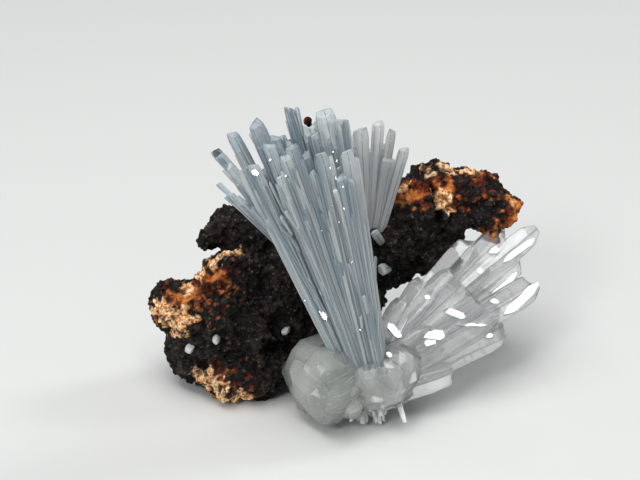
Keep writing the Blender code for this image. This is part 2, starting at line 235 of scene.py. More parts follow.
def front_spray():
    """The tall fan: rows of blades from the front to the back, longest at the back."""
    rng = random.Random(11)
    # The heart of the foot, hidden by the blades
    crystals = [Crystal((9.4, -5.5, 5.2), (8.4, -4.9, 15.6), 5.8, 4.0, 8, chisel=1.5, taper=0.9)]
    # Blades that make the crown: (place along the foot, lean, pitch, length, width, thickness, roll)
    crown = [
        (0.28, 25.2, 5, 38.0, 2.3, 2.0, 10),
        (0.42, 21.3, 6, 38.2, 2.9, 2.2, 35),
        (0.60, 15.9, 8, 38.9, 1.9, 1.5, 0),
        (0.68, 13.8, 8, 35.6, 2.4, 1.8, 20),
        (0.85, 11.4, 8, 38.0, 3.6, 2.8, 5),
        (0.94, 9.4, 8, 37.2, 2.6, 2.4, 0),
        (1.00, 8.4, 9, 33.6, 1.8, 1.8, 15),
    ]
    for along, lean, pitch, length, width, thickness, roll in crown:
        foot = SPRAY_FOOT_LEFT.lerp(SPRAY_FOOT_RIGHT, along)
        tip = lean_to(foot, lean, pitch, length)
        root = foot - (tip - foot).normalized() * SPRAY_ROOT_DEPTH
        crystals.append(Crystal(root, tip, width, thickness, roll, chisel=1.6, taper=0.5))
    # Rows: (depth of the foot behind the front, pitch, share of the spray's height, blades)
    rows = [(-1.8, 0.5, 0.98, 9), (-0.4, 3.5, 0.99, 9), (1.2, 6.0, 0.96, 8), (2.6, 8.5, 0.86, 6)]
    for depth, pitch, share, blades in rows:
        for k in range(blades):
            along = (k + rng.uniform(0.3, 0.7)) / blades
            lean = SPRAY_LEAN_LEFT + (SPRAY_LEAN_RIGHT - SPRAY_LEAN_LEFT) * along + rng.uniform(-1.5, 1.5)
            height = SPRAY_HEIGHT * (0.95 + 0.12 * math.sin(math.pi * along))
            length = height * share * rng.uniform(0.88, 1.02)
            foot = SPRAY_FOOT_LEFT.lerp(SPRAY_FOOT_RIGHT, along) + Vector((0, depth, 0))
            tip = lean_to(foot, lean, pitch + rng.uniform(-1.5, 1.5), length)
            root = foot - (tip - foot).normalized() * SPRAY_ROOT_DEPTH
            width = rng.uniform(2.0, 3.0)
            crystals.append(
                Crystal(root, tip, width, rng.uniform(1.5, 2.1), rng.uniform(-30, 30), 1.4, 0.5)
            )
    return crystals


def side_feathers():
    """Blades that leave the fan's left side at a lower angle than the fan itself."""
    # (root, lean, pitch, length, width, thickness, roll)
    blades = [
        ((4.8, -5.0, 20.4), 39.5, 8, 25.0, 2.2, 1.8, 40),
        ((5.0, -5.6, 20.0), 38.0, 5, 23.4, 2.3, 1.5, 10),
        ((4.4, -6.0, 19.0), 40.5, 2, 21.1, 2.0, 1.4, 0),
        ((5.0, -5.8, 17.0), 37.0, 1, 21.6, 1.9, 1.5, 20),
        ((5.8, -6.2, 14.6), 34.5, 1, 20.4, 1.9, 1.4, -15),
        ((6.0, -6.4, 11.6), 29.5, 0, 16.6, 1.9, 1.5, 10),
        ((6.0, -4.6, 11.4), 32.0, 6, 24.4, 2.0, 1.7, -20),
        ((5.8, -5.4, 14.0), 35.5, 4, 22.8, 2.0, 1.6, 30),
        ((6.4, -7.4, 10.6), 26.5, -1, 13.5, 1.8, 1.3, -10),
    ]
    return [
        Crystal(root, lean_to(root, lean, pitch, length), width, thickness, roll, 1.2, 0.6)
        for root, lean, pitch, length, width, thickness, roll in blades
    ]


def base_crystals():
    """The stout crystals at the foot: a blocky one at the left, and a fan that points down and forward."""
    rng = random.Random(5)
    crystals = [
        Crystal((8.0, -2.8, 7.2), (-0.1, -9.9, 6.9), 12.8, 13.4, 12, chisel=2.2, taper=0.85, ridge=0.76),
        Crystal((9.0, -2.0, 6.8), (4.6, -10.4, 4.6), 7.6, 7.4, 20, chisel=1.8, taper=0.8, ridge=0.6),
        Crystal((5.0, -5.6, 5.8), (14.8, -5.6, 6.6), 9.2, 8.8, 25, chisel=2.0, taper=0.85, ridge=0.6),
        Crystal((9.5, -3.5, 7.8), (9.6, -10.8, 6.3), 10.4, 8.8, 5, chisel=2.2, taper=0.85, ridge=0.6),
        Crystal((10.5, -3.6, 8.0), (15.2, -7.8, 7.3), 8.4, 7.8, 15, chisel=2.0, taper=0.85, ridge=0.6),
    ]
    centre = Vector((9.8, -3.4, 7.4))
    # Rows: (rise of the row, reach, blades, width)
    rows = [(-46, 8.8, 9, 2.0), (-30, 9.2, 9, 2.8), (-12, 9.6, 6, 4.2), (8, 8.6, 5, 4.6)]
    for row_rise, reach, blades, width in rows:
        for k in range(blades):
            heading = math.radians(-162 + 134 * (k + rng.uniform(0.25, 0.75)) / blades)
            rise = math.radians(row_rise + rng.uniform(-5, 5))
            direction = Vector(
                (math.cos(heading) * math.cos(rise), math.sin(heading) * math.cos(rise), math.sin(rise))
            )
            root = centre + Vector((rng.uniform(-1.5, 1.5), 0, 0))
            tip = root + direction * reach * rng.uniform(0.92, 1.06)
            size = width * rng.uniform(0.85, 1.15)
            crystals.append(Crystal(root, tip, size, size * 0.7, rng.uniform(-40, 40), 1.3, 0.7))
    return crystals


def right_sheaf():
    """Long flat blades that run out to the right and rise towards the back."""
    # (root, tip, width, thickness, roll)
    slivers = [
        # along the lower edge
        ((7.8, -8.2, 4.0), (22.4, -3.0, 6.2), 4.6, 2.8, 5),
        ((8.5, -7.5, 4.6), (28.4, 1.8, 10.2), 6.2, 2.6, -4),
        ((8.5, -7.0, 5.4), (33.3, 5.9, 14.7), 5.0, 2.2, 4),
        # upper edge, below the right lobe of the rock
        ((9.5, -6.0, 7.0), (31.6, 8.2, 17.8), 4.6, 2.2, 12),
        ((10.0, -5.0, 8.0), (33.0, 10.2, 20.6), 4.0, 2.0, -10),
        ((10.4, -4.0, 8.8), (29.0, 9.8, 21.0), 4.6, 2.2, 10),
        ((10.6, -3.4, 9.2), (24.8, 8.4, 20.6), 4.8, 2.4, -8),
        # behind the others
        ((9.2, -4.6, 5.0), (28.6, 6.0, 12.8), 6.0, 2.4, 20),
        ((10.0, -3.0, 6.6), (26.4, 9.2, 16.4), 5.2, 2.6, -25),
    ]
    blocks = [
        ((10.2, -4.8, 8.8), (22.0, 3.0, 16.8), 6.8, 4.2, 14),
        ((10.8, -4.4, 9.4), (17.4, 1.2, 17.2), 5.0, 3.6, -18),
        ((10.6, -5.0, 9.0), (14.4, -0.8, 15.8), 4.6, 3.0, 10),
        ((9.6, -6.6, 6.6), (25.6, 1.4, 13.0), 7.4, 3.0, 6),
        ((9.8, -6.8, 7.4), (18.6, -2.8, 11.4), 6.4, 3.4, 24),
    ]
    crystals = [
        Crystal(root, tip, width, thickness, roll, chisel=4.2, taper=0.85, ridge=0.3, point=0.4)
        for root, tip, width, thickness, roll in slivers
    ]
    for root, tip, width, thickness, roll in blocks:
        crystals.append(Crystal(root, tip, width, thickness, roll, chisel=1.8, taper=0.85, ridge=0.55))
    # A slim rod that lies across the blades
    crystals.append(Crystal((21.2, 2.0, 17.0), (27.0, 0.6, 10.8), 1.2, 1.1, 0, chisel=0.7, taper=0.8))
    return crystals


def back_spray():
    """The smaller bundle that stands on the rock behind the front spray."""
    # (tip, width, thickness, roll)
    tips = [
        ((8.0, 8.4, 37.6), 2.6, 1.8, 10),
        ((10.5, 8.2, 38.6), 2.0, 1.6, 30),
        ((12.4, 7.6, 38.0), 1.8, 1.4, 60),
        ((14.1, 6.8, 35.4), 1.8, 1.3, 20),
        ((11.4, 9.8, 34.4), 2.6, 1.8, 0),
        ((9.0, 10.6, 33.4), 2.2, 1.8, 40),
        ((13.2, 9.8, 32.0), 2.2, 1.6, -20),
        ((12.0, 7.0, 33.6), 2.4, 1.6, 15),
    ]
    root = Vector((9.4, 6.4, 17.6))
    return [
        Crystal(root + Vector((0.12 * (tip[0] - root.x), 0.1 * (tip[1] - root.y), 0)), tip, *size, 1.4, 0.6)
        for tip, *size in tips
    ]


def small_crystals():
    """Single crystals that stand on the rock: two beside the back spray, three on the left lobe."""
    # (root, tip, width, thickness, roll)
    blades = [
        ((11.2, 5.6, 21.0), (9.9, 1.8, 24.9), 1.7, 1.1, 0),
        ((12.2, 4.8, 17.4), (10.9, 0.8, 19.4), 2.0, 1.5, 30),
        ((-14.4, 1.2, 8.2), (-15.4, -3.2, 8.8), 1.5, 1.1, 20),
        ((-11.0, 0.6, 10.0), (-11.6, -3.9, 10.8), 1.4, 1.0, -30),
        ((-1.6, 3.4, 9.6), (-2.2, -1.0, 10.4), 1.5, 1.1, 45),
    ]
    return [
        Crystal(root, tip, width, thickness, roll, chisel=0.7, taper=0.8)
        for root, tip, width, thickness, roll in blades
    ]


def rock_lumps():
    """The rock's lumps: (centre, radii)."""
    return [
        # left lobe
        ((-11.0, 3.2, 9.0), (8.2, 5.8, 8.8)),
        ((-16.0, 3.6, 11.8), (4.8, 4.2, 4.6)),
        ((-8.0, 1.2, 3.4), (7.2, 5.8, 4.8)),
        ((-14.2, 3.0, 5.0), (4.6, 4.6, 4.6)),
        ((-9.0, 5.0, 15.6), (4.8, 4.2, 4.4)),
        # flake that stands up from the left lobe
        ((-10.3, 8.4, 22.6), (2.4, 1.9, 3.2)),
        ((-12.0, 8.0, 20.4), (1.9, 1.5, 1.6)),
        ((-6.0, 8.4, 20.6), (5.0, 3.0, 4.2)),
        # middle, behind the front spray
        ((-2.0, 6.8, 10.0), (8.0, 6.0, 10.5)),
        ((4.0, 7.4, 13.0), (8.0, 5.2, 9.0)),
        ((1.0, 5.0, 2.6), (10.5, 6.8, 4.6)),
        ((7.0, 7.6, 17.6), (5.6, 4.6, 4.6)),
        # right lobe
        ((12.6, 8.4, 18.4), (5.0, 4.6, 6.0)),
        ((16.4, 10.4, 21.4), (7.4, 5.2, 6.6)),
        ((22.0, 12.6, 23.8), (6.8, 4.8, 4.6)),
        ((27.0, 12.2, 22.4), (3.8, 3.8, 3.0)),
        ((17.6, 8.2, 17.6), (4.2, 3.4, 3.2)),
        ((19.0, 13.0, 26.4), (4.4, 3.4, 2.2)),
        # knob that hangs below the right lobe
        ((26.2, 9.6, 20.0), (1.6, 2.2, 1.6)),
    ]


def new_object(name, data):
    """An object in the scene that shows a mesh, a lamp or a camera."""
    obj = bpy.data.objects.new(name, data)
    bpy.context.scene.collection.objects.link(obj)
    return obj


def prism_mesh(
    crystal, rng, shift=(0.0, 0.0), share=(1.0, 1.0), reach=(0.0, 1.0), bevel=EDGE_BEVEL
):
    """One fine blade inside a crystal, as a mesh.

    Shift and share place it in the crystal's cross-section, and reach is where along it the blade begins and
    ends. Its grain attribute says where each point lies across and along the blade, and edge marks the narrow
    faces along its edges, which the material darkens as painted shade.
    """
    whole = (crystal.tip - crystal.root).length
    start, length = whole * reach[0], whole * (reach[1] - reach[0])
    chisel = min(crystal.chisel * rng.uniform(0.8, 1.3), 0.4 * length)
    part = bmesh.new()
    layer = part.verts.layers.float_vector.new("grain")
    edge = part.faces.layers.float.new("edge")
    low = crystal.taper + (1 - crystal.taper) * reach[0]
    high = crystal.taper + (1 - crystal.taper) * reach[1]
    bmesh.ops.create_cone(
        part,
        cap_ends=True,
        segments=BLADE_SIDES,
        radius1=0.5 * low,
        radius2=0.5 * high,
        depth=length - chisel,
        matrix=Matrix.Translation((0, 0, (length - chisel) / 2)),
    )
    top = max(part.faces, key=lambda face: face.calc_center_median().z)
    shoulder = bmesh.ops.extrude_discrete_faces(part, faces=[top])["faces"][0]
    for vert in shoulder.verts:
        vert.co = Vector((vert.co.x * 0.9, vert.co.y * 0.82, length - 0.45 * chisel))
    end = bmesh.ops.extrude_discrete_faces(part, faces=[shoulder])["faces"][0]
    slant = rng.uniform(-0.5, 0.5) * chisel
    lean = rng.uniform(-0.2, 0.2)
    for vert in end.verts:
        x, y = vert.co.x, vert.co.y
        height = length + slant * x - abs(slant) * 0.5
        vert.co = Vector((x * crystal.point, y * crystal.ridge + lean, height))
    wide = crystal.width * share[0]
    thick = crystal.thickness * share[1]
    for vert in part.verts:
        taper = low + (high - low) * max(0.0, min(1.0, vert.co.z / length))
        x = vert.co.x * wide + shift[0] * crystal.width * taper
        y = vert.co.y * thick + shift[1] * crystal.thickness * taper
        vert.co = Vector((x, y, vert.co.z + start))
    narrow = bmesh.ops.bevel(
        part,
        geom=part.edges[:],
        offset=bevel,
        offset_type="OFFSET",
        segments=1,
        affect="EDGES",
        clamp_overlap=True,
    )["faces"]
    for face in narrow:
        heights = [vert.co.z for vert in face.verts]
        # Only the edges that run along the blade, and not the rings round its end
        if max(heights) - min(heights) > 0.3 * chisel:
            # These faces are darkened by the crystal material as painted shade.
            face[edge] = 1.0
    # The outside is found in mm, because it can be mistaken at the size in metres
    bmesh.ops.recalc_face_normals(part, faces=part.faces)
    number = rng.uniform(0, 90)
    turn = crystal.turn()
    for vert in part.verts:
        vert[layer] = Vector((vert.co.x + number, vert.co.y, vert.co.z))
        vert.co = (turn @ vert.co + crystal.root) * MM
    made = bpy.data.meshes.new("blade")
    part.to_mesh(made)
    part.free()
    return made


def bundle_meshes(crystal, rng, blades, fineness, core):
    """A crystal as it looks close up: a main blade, core of its width, with thinner ones along its sides."""
    made = [prism_mesh(crystal, rng, share=(core, core), reach=(0.0, rng.uniform(0.975, 1.0)))]
    for _ in range(blades):
        share = (rng.uniform(0.6, 1.2) * fineness, rng.uniform(0.8, 1.4) * fineness)
        edge = rng.uniform(0, 2 * math.pi)
        shift = (0.5 * (1 - share[0]) * math.cos(edge), 0.5 * (1 - share[1]) * math.sin(edge))
        reach = (rng.choice((0.0, 0.0, rng.uniform(0.05, 0.4))), rng.uniform(0.7, 0.99))
        made.append(prism_mesh(crystal, rng, shift, share, reach, bevel=FINE_BEVEL))
    return made


def joined(name, meshes, look):
    """One piece made of meshes that stay separate shells."""
    bm = bmesh.new()
    bm.verts.layers.float_vector.new("grain")
    bm.faces.layers.float.new("edge")
    for mesh in meshes:
        bm.from_mesh(mesh)
        bpy.data.meshes.remove(mesh)
    mesh = bpy.data.meshes.new(name)
    bm.to_mesh(mesh)
    bm.free()
    mesh.materials.append(look)
    return new_object(name, mesh)


def fused(name, meshes, look):
    """One piece made of meshes that are joined into one clear solid, with no faces left inside it."""
    helpers = bpy.data.collections.new(name + "_helpers")
    bpy.context.scene.collection.children.link(helpers)
    others = [bpy.data.objects.new(name + "_helper", mesh) for mesh in meshes[1:]]
    for other in others:
        helpers.objects.link(other)
    obj = new_object(name, meshes[0])
    union = obj.modifiers.new("Union", "BOOLEAN")
    union.operation = "UNION"
    union.solver = "MANIFOLD"
    union.operand_type = "COLLECTION"
    union.collection = helpers
    bpy.context.view_layer.update()
    solid = bpy.data.meshes.new_from_object(obj.evaluated_get(bpy.context.evaluated_depsgraph_get()))
    obj.modifiers.clear()
    obj.data = solid
    for other in others:
        bpy.data.objects.remove(other, do_unlink=True)
    bpy.data.collections.remove(helpers)
    solid.materials.clear()
    solid.materials.append(look)
    return obj


def crystal_piece(name, crystals, seed, bundle, look, join=joined):
    """One piece made of crystals, each of them a bundle of blades."""
    rng = random.Random(seed)
    meshes = [mesh for crystal in crystals for mesh in bundle_meshes(crystal, rng, *bundle)]
    return join(name, meshes, look)


class Nodes:
    """Short calls for a material's node tree."""

    def __init__(self, name):
        self.material = bpy.data.materials.new(name)
        self.material.use_nodes = True
        self.tree = self.material.node_tree
        self.shader = self.tree.nodes["Principled BSDF"]
        self.output = self.tree.nodes["Material Output"]

    def add(self, kind, **values):
        node = self.tree.nodes.new(kind)
        for key, value in values.items():
            if key in node.inputs:
                node.inputs[key].default_value = value
            else:
                setattr(node, key, value)
        return node

    def link(self, source, target):
        self.tree.links.new(source, target)

    def noise(self, vector, scale, detail, roughness):
        node = self.add("ShaderNodeTexNoise", Scale=scale, Detail=detail, Roughness=roughness)
        self.link(vector, node.inputs["Vector"])
        return node.outputs["Fac"]

    def stretched_noise(self, vector, scale, detail, roughness):
        """Noise with its own scale along each axis."""
        mapping = self.add("ShaderNodeMapping")
        mapping.inputs["Scale"].default_value = scale
        self.link(vector, mapping.inputs["Vector"])
        return self.noise(mapping.outputs["Vector"], 1.0, detail, roughness)

    def ramp(self, value, stops):
        node = self.add("ShaderNodeValToRGB")
        ramp = node.color_ramp
        while len(ramp.elements) < len(stops):
            ramp.elements.new(0.5)
        for element, (place, colour) in zip(ramp.elements, stops):
            element.position = place
            element.color = (*colour, 1.0)
        self.link(value, node.inputs["Fac"])
        return node.outputs["Color"]

    def mix(self, factor, first, second):
        node = self.add("ShaderNodeMix", data_type="RGBA")
        for socket, value in ((node.inputs[0], factor), (node.inputs[6], first), (node.inputs[7], second)):
            if isinstance(value, bpy.types.NodeSocket):
                self.link(value, socket)
            elif socket.type == "RGBA":
                socket.default_value = (*value, 1.0)
            else:
                socket.default_value = value
        return node.outputs[2]

    def spread(self, value, low, high, to_low, to_high):
        node = self.add("ShaderNodeMapRange")
        node.inputs["From Min"].default_value = low
        node.inputs["From Max"].default_value = high
        node.inputs["To Min"].default_value = to_low
        node.inputs["To Max"].default_value = to_high
        self.link(value, node.inputs["Value"])
        return node.outputs["Result"]

    def bump(self, height, strength, distance, under=None):
        node = self.add("ShaderNodeBump", Strength=strength, Distance=distance)
        self.link(height, node.inputs["Height"])
        if under is not None:
            self.link(under, node.inputs["Normal"])
        return node.outputs["Normal"]


def crystal_look(
    name,
    clear,
    milky,
    deep,
    transmission,
    roughness,
    absorbed,
    density,
    veil=0.5,
    contrast=0.6,
    groove=0.6,
    painted_rim=PAINTED_EDGE_SHADE,
):
    """Barite: glassy, striated faces, paler veils, colour that deepens with thickness, and painted shade on
    the edges and on one tip.
    """
    nodes = Nodes(name)
    shader = nodes.shader
    shader.inputs["IOR"].default_value = BARITE_IOR
    shader.inputs["Transmission Weight"].default_value = transmission
    grain = nodes.add("ShaderNodeAttribute", attribute_name="grain").outputs["Vector"]
    place = nodes.add("ShaderNodeTexCoord").outputs["Object"]
    streaks = nodes.stretched_noise(grain, STREAK_SCALE, 4.0, 0.6)
    bands = nodes.stretched_noise(grain, BAND_SCALE, 3.0, 0.6)
    cloud = nodes.noise(place, CLOUD_SCALE, 4.0, 0.6)
    tint = nodes.stretched_noise(grain, TINT_SCALE, 1.0, 0.5)
    veils = nodes.spread(cloud, veil, veil + 0.14, 0.0, 1.0)
    colour = nodes.mix(veils, clear, milky)
    colour = nodes.mix(nodes.spread(streaks, 0.50, 0.66, 0.0, 0.7), colour, milky)
    colour = nodes.mix(nodes.spread(streaks, 0.30, 0.44, contrast, 0.0), colour, deep)
    darkest = tuple(0.72 * value for value in deep)
    shade = nodes.spread(tint, 0.36, 0.56, min(1.0, 1.4 * contrast), 0.0)
    colour = nodes.mix(shade, colour, darkest)
    colour = nodes.mix(nodes.spread(bands, 0.56, 0.68, 0.0, 0.8), colour, milky)
    colour = nodes.mix(nodes.spread(bands, 0.32, 0.44, contrast, 0.0), colour, deep)
    # Painted shade: the marked edge faces, and more strongly the one marked tip, are mixed towards the dark
    # edge colour.
    edge = nodes.add("ShaderNodeAttribute", attribute_name="edge").outputs["Fac"]
    rim_shade = nodes.spread(edge, 0.0, PAINTED_TIP_SHADE, 0.0, min(1.0, PAINTED_TIP_SHADE * painted_rim))
    colour = nodes.mix(rim_shade, colour, PAINTED_EDGE_COLOUR)
    nodes.link(colour, shader.inputs["Base Color"])
    rough = nodes.spread(cloud, 0.35, 0.7, roughness * 0.4, roughness * 2.2)
    nodes.link(rough, shader.inputs["Roughness"])
    fine = nodes.bump(streaks, groove, 0.0002)
    pits = nodes.noise(place, PIT_SCALE, 2.0, 0.5)
    nodes.link(nodes.bump(pits, 0.08, 0.0001, fine), shader.inputs["Normal"])
    absorb = nodes.add("ShaderNodeVolumeAbsorption", Color=(*absorbed, 1.0), Density=density)
    nodes.link(absorb.outputs["Volume"], nodes.output.inputs["Volume"])
    return nodes.material


# Colour patches on the rock: (centre, reach, strength) in mm
OCHRE_PATCHES = [
    ((-19.8, 0.5, 13.4), 1.7, 0.9),
    ((-17.8, -0.4, 12.0), 2.1, 1.0),
    ((-15.4, 0.0, 12.4), 1.5, 0.9),
    ((-15.8, 2.6, 15.6), 1.1, 0.8),
    ((-13.8, 3.2, 17.4), 0.9, 0.8),
    ((-11.4, 3.6, 18.8), 1.2, 0.8),
    ((-9.6, 4.4, 19.8), 1.2, 0.8),
    ((-13.4, -1.6, 3.8), 1.5, 0.9),
    ((-10.8, -2.8, 2.6), 1.6, 1.0),
    ((-8.2, -3.4, 1.6), 1.4, 0.9),
    ((14.0, 10.0, 27.4), 0.9, 0.9),
    ((17.6, 12.0, 28.2), 1.1, 0.9),
    ((19.4, 8.2, 26.6), 1.1, 1.0),
    ((19.9, 7.6, 24.8), 0.8, 1.0),
    ((23.4, 13.4, 27.8), 1.1, 1.0),
    ((20.2, 13.0, 28.6), 1.1, 0.9),
    ((26.0, 13.4, 26.4), 0.7, 0.8),
    ((29.2, 11.6, 23.4), 0.7, 0.6),
]
RUST_PATCHES = [
    ((-12.8, 2.2, 15.8), 2.8, 1.0),
    ((-16.8, 0.6, 14.2), 2.4, 0.8),
    ((-19.8, 1.0, 12.0), 1.8, 0.8),
    ((-10.4, 3.4, 18.0), 2.2, 0.8),
    ((-10.6, -2.6, 3.2), 2.6, 0.7),
    ((-7.4, -3.2, 2.6), 1.6, 0.6),
    ((17.0, 9.6, 27.4), 2.4, 1.0),
    ((20.8, 9.4, 26.6), 2.2, 1.0),
    ((28.8, 11.0, 22.4), 2.4, 1.0),
    ((24.6, 12.4, 26.4), 2.6, 0.9),
    ((27.6, 11.6, 24.4), 1.8, 0.8),
    ((13.6, 9.0, 26.4), 1.6, 0.6),
    ((26.2, 8.8, 20.0), 1.6, 0.9),
]


# The rock's colours: (place on the noise, colour)
DARK_STOPS = [(0.38, (0.002, 0.002, 0.002)), (0.54, (0.007, 0.006, 0.005)), (0.69, (0.050, 0.036, 0.027))]
RUST_STOPS = [(0.38, (0.010, 0.003, 0.002)), (0.48, (0.17, 0.030, 0.011)), (0.60, (0.70, 0.23, 0.05))]
# The ochre's palest stop is partly the crust's own colour and partly painted highlight.
OCHRE_STOPS = [(0.37, (0.28, 0.07, 0.01)), (0.47, (0.92, 0.42, 0.13)), (0.59, (1.0, 0.86, 0.60))]


def patch_strength(point, patches, wobble):
    """How strongly a point, in mm, is inside any of the patches, whose edges are ragged."""
    best = 0.0
    for centre, reach, strength in patches:
        away = (point - Vector(centre)).length / reach
        best = max(best, strength * min(1.0, max(0.0, 1.6 - away + wobble)))
    return best


def rock_piece(look):
    """The rock: joined lumps with a knobbly, granular surface, ochre crusts and a crack."""
    bm = bmesh.new()
    for centre, radii in rock_lumps():
        place = Matrix.Translation(Vector(centre) * MM) @ Matrix.Diagonal((*(Vector(radii) * MM), 1))
        bmesh.ops.create_icosphere(bm, subdivisions=3, radius=1.0, matrix=place)
    mesh = bpy.data.meshes.new("rock_surface")
    bm.to_mesh(mesh)
    bm.free()
    obj = new_object("rock_surface", mesh)
    voxels = obj.modifiers.new("Voxels", "REMESH")
    voxels.mode = "VOXEL"
    voxels.voxel_size = ROCK_VOXEL * MM
    for name, grain, height in ROCK_SWELLS:
        texture = bpy.data.textures.new(name, "CLOUDS")
        texture.noise_scale = grain * MM
        texture.noise_depth = 2
        roughen = obj.modifiers.new(name, "DISPLACE")
        roughen.texture = texture
        roughen.strength = height * MM
        roughen.mid_level = 0.5
    again = obj.modifiers.new("Evened", "REMESH")
    again.mode = "VOXEL"
    again.voxel_size = ROCK_VOXEL * MM
    bpy.context.view_layer.update()
    shaped = bpy.data.meshes.new_from_object(obj.evaluated_get(bpy.context.evaluated_depsgraph_get()))
    obj.modifiers.clear()
    obj.data = shaped
    ochre = shaped.attributes.new("ochre", "FLOAT", "POINT")
    rust = shaped.attributes.new("rust", "FLOAT", "POINT")
    hollow = shaped.attributes.new("hollow", "FLOAT", "POINT")
    lean = Matrix.Rotation(math.radians(CRACK_LEAN), 3, "Y")
    lean = (lean @ Matrix.Rotation(math.radians(CRACK_PITCH), 3, "X")).inverted()
    normals = [vert.normal.copy() for vert in shaped.vertices]
    for vert, normal in zip(shaped.vertices, normals):
        point = vert.co / MM
        coarse = noise.fractal(point / COARSE_SIZE, 0.8, 2.0, 3)
        near, _ = noise.voronoi(point / KNOB_SIZE + Vector((3.1, 0.7, 5.2)))
        fine, _ = noise.voronoi(point / SPECK_SIZE)
        grit = noise.noise(point / GRIT_SIZE)
        wobble = noise.fractal(point / PATCH_EDGE_SIZE + Vector((9, 4, 1)), 0.7, 2.1, 3)
        knob = 0.5 - near[0]
        speck = 0.5 - fine[0]
        inside = lean @ (point - CRACK_PLACE)
        crack = all(abs(inside[i]) < CRACK_SIZE[i] / 2 for i in range(3))
        yellow = patch_strength(point, OCHRE_PATCHES, 0.9 * wobble + 0.15)
        red = patch_strength(point, RUST_PATCHES, 1.3 * wobble)
        rise = COARSE_HEIGHT * coarse + KNOB_HEIGHT * knob + SPECK_HEIGHT * speck
        rise += GRIT_HEIGHT * grit + CRUST_HEIGHT * yellow
        if crack:
            rise -= CRACK_DEPTH
        vert.co = (point + normal * (rise - ROCK_INSET)) * MM
        vert.co.z = max(vert.co.z, 0.0)
        ochre.data[vert.index].value = yellow
        rust.data[vert.index].value = red
        # How far a point stands out: the colour is made nearly black where it is low and in the crack, as
        # painted shade, and mixed towards dark brown-grey on the raised knobs.
        stands_out = min(1.0, max(0.0, 0.5 + 0.9 * knob + 0.5 * speck + 0.4 * coarse))
        hollow.data[vert.index].value = stands_out * (0.2 if crack else 1)
    shaped.materials.clear()
    shaped.materials.append(look)
    return obj


def rock_look():
    """Iron oxide: nearly black and granular, with brown dust, red-brown stain, ochre crusts, painted
    highlight specks and painted shade in its low places.
    """
    nodes = Nodes("iron_oxide_rock")
    shader = nodes.shader
    place = nodes.add("ShaderNodeTexCoord").outputs["Object"]
    height = nodes.add("ShaderNodeAttribute", attribute_name="hollow").outputs["Fac"]
    ochre = nodes.add("ShaderNodeAttribute", attribute_name="ochre").outputs["Fac"]
    rust = nodes.add("ShaderNodeAttribute", attribute_name="rust").outputs["Fac"]
    dust = nodes.noise(place, DUST_SCALE, 5.0, 0.65)
    grit = nodes.noise(place, GRIT_AND_GLINT_SCALE, 3.0, 0.6)
    dark = nodes.ramp(dust, DARK_STOPS)
    # Raised knobs are mixed towards a dark brown-grey.
    dark = nodes.mix(nodes.spread(height, 0.50, 0.95, 0.0, 0.45), dark, (0.032, 0.026, 0.023))
    # Painted highlights: pale specks where the fine noise is high, which stand in for glints on the grains.
    dark = nodes.mix(nodes.spread(grit, 0.58, 0.68, 0.0, 0.7), dark, (0.15, 0.125, 0.11))
    red = nodes.ramp(dust, RUST_STOPS)
    yellow = nodes.ramp(grit, OCHRE_STOPS)
    colour = nodes.mix(nodes.spread(rust, 0.25, 0.75, 0.0, 0.95), dark, red)
    colour = nodes.mix(nodes.spread(ochre, 0.40, 0.75, 0.0, 1.0), colour, yellow)
    # Painted shade: the low places and the crack are made nearly black.
    colour = nodes.mix(nodes.spread(height, 0.15, 0.5, 0.85, 0.0), colour, (0.006, 0.004, 0.003))
    nodes.link(colour, shader.inputs["Base Color"])
    shader.inputs["Specular IOR Level"].default_value = 0.16
    nodes.link(nodes.spread(grit, 0.3, 0.7, 0.45, 0.9), shader.inputs["Roughness"])
    nodes.link(nodes.bump(grit, 0.5, 0.0003), shader.inputs["Normal"])
    return nodes.material


def chip_piece(look):
    """The dark grain between the tips of the spray."""
    bm = bmesh.new()
    radius = 0.8 * CHIP_RADIUS * MM
    shape = Matrix.Diagonal((radius, 0.7 * radius, 1.1 * radius, 1))
    place = Matrix.Translation(CHIP_PLACE * MM)
    bmesh.ops.create_icosphere(bm, subdivisions=4, radius=1.0, matrix=place @ shape)
    for vert in bm.verts:
        away = vert.co - CHIP_PLACE * MM
        vert.co += away * (0.35 * noise.fractal(vert.co / MM / 0.6, 0.8, 2.0, 3) - 0.05)
    mesh = bpy.data.meshes.new("iron_oxide_grain")
    bm.to_mesh(mesh)
    bm.free()
    for name, value in (("ochre", 0.0), ("rust", 0.65), ("hollow", 0.6)):
        layer = mesh.attributes.new(name, "FLOAT", "POINT")
        layer.data.foreach_set("value", [value] * len(mesh.vertices))
    mesh.materials.append(look)
    return new_object("iron_oxide_grain", mesh)


def needles():
    """Fine needles that stand out from the underside of the base."""
    rng = random.Random(NEEDLES_SEED)
    made = []
    for _ in range(NEEDLES):
        heading = math.radians(rng.uniform(-150, -55))
        rise = math.radians(rng.uniform(-60, -34))
        direction = Vector(
            (math.cos(heading) * math.cos(rise), math.sin(heading) * math.cos(rise), math.sin(rise))
        )
        root = NEEDLE_ROOT + Vector((rng.uniform(-2.5, 3.0), 0, 0))
        tip = root + direction * rng.uniform(7.4, 9.1)
        tip.z = max(tip.z, NEEDLE_FLOOR)
        width = rng.uniform(0.5, 0.9)
        thickness = rng.uniform(0.4, 0.6)
        roll = rng.uniform(0, 90)
        made.append(Crystal(root, tip, width, thickness, roll, chisel=0.9, taper=1.0))
    return made


def inner_piece(blocks, look):
    """Growth forms inside the blocky crystals, which break up what is seen through them."""
    rng = random.Random(INNER_SEED)
    meshes = []
    for block in blocks:
        for share, reach, turn in INNER_FORMS:
            tip = block.root.lerp(block.tip, reach)
            width, thickness = share * block.width, share * block.thickness
            inner = Crystal(block.root, tip, width, thickness, 0, chisel=2.4, taper=0.8, ridge=0.5, point=0.6)
            inner.roll = block.roll + math.radians(turn)
            meshes.append(prism_mesh(inner, rng))
    return joined("base_inner_forms", meshes, look)


